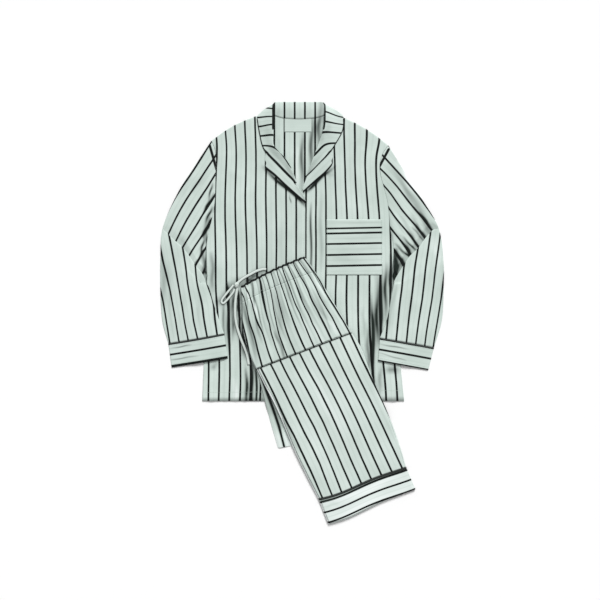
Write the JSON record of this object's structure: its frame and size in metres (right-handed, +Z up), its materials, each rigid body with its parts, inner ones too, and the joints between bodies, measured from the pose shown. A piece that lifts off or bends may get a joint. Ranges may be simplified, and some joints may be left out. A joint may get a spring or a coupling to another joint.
{
  "type": "pyjama set",
  "caption": "Long-sleeved pyjama shirt with a notched collar and chest pocket, laid flat, with drawstring trousers folded over its front; striped nightwear.",
  "frame": {"origin": "bottom centre of the bounding box of the whole set, on the surface that it lies on", "axes": "+X to the right as seen from above with the collar up, so the wearer's left; +Y along the shirt towards its collar; +Z up from the surface"},
  "size_m": [0.6807, 1.0123, 0.017],
  "materials": {
    "striped_cotton": "satin-woven cotton, soft sheen, pale sage with thin near-black stripes",
    "dark_piping": "matt folded cotton piping, near black",
    "drawstring_tape": "flat self-fabric tape, pale sage, matt"
  },
  "bodies": {
    "root": {"shirt_back": "striped_cotton", "shirt_front_right": "striped_cotton", "shirt_front_left": "striped_cotton", "collar": "striped_cotton", "lapel_right": "striped_cotton", "lapel_left": "striped_cotton", "chest_pocket": "striped_cotton", "sleeve_right": "striped_cotton", "sleeve_left": "striped_cotton", "cuff_right": "striped_cotton", "cuff_left": "striped_cotton", "waistband": "striped_cotton", "leg_upper": "striped_cotton", "leg_lower": "striped_cotton", "hem_band": "striped_cotton", "under_leg": "striped_cotton", "folded_core": "striped_cotton", "cuff_piping_right": "dark_piping", "cuff_piping_left": "dark_piping", "hem_piping": "dark_piping", "drawstring_waist": "drawstring_tape", "drawstring_loop": "drawstring_tape", "drawstring_end": "drawstring_tape", "drawstring_knot": "drawstring_tape"}
  },
  "joints": []
}
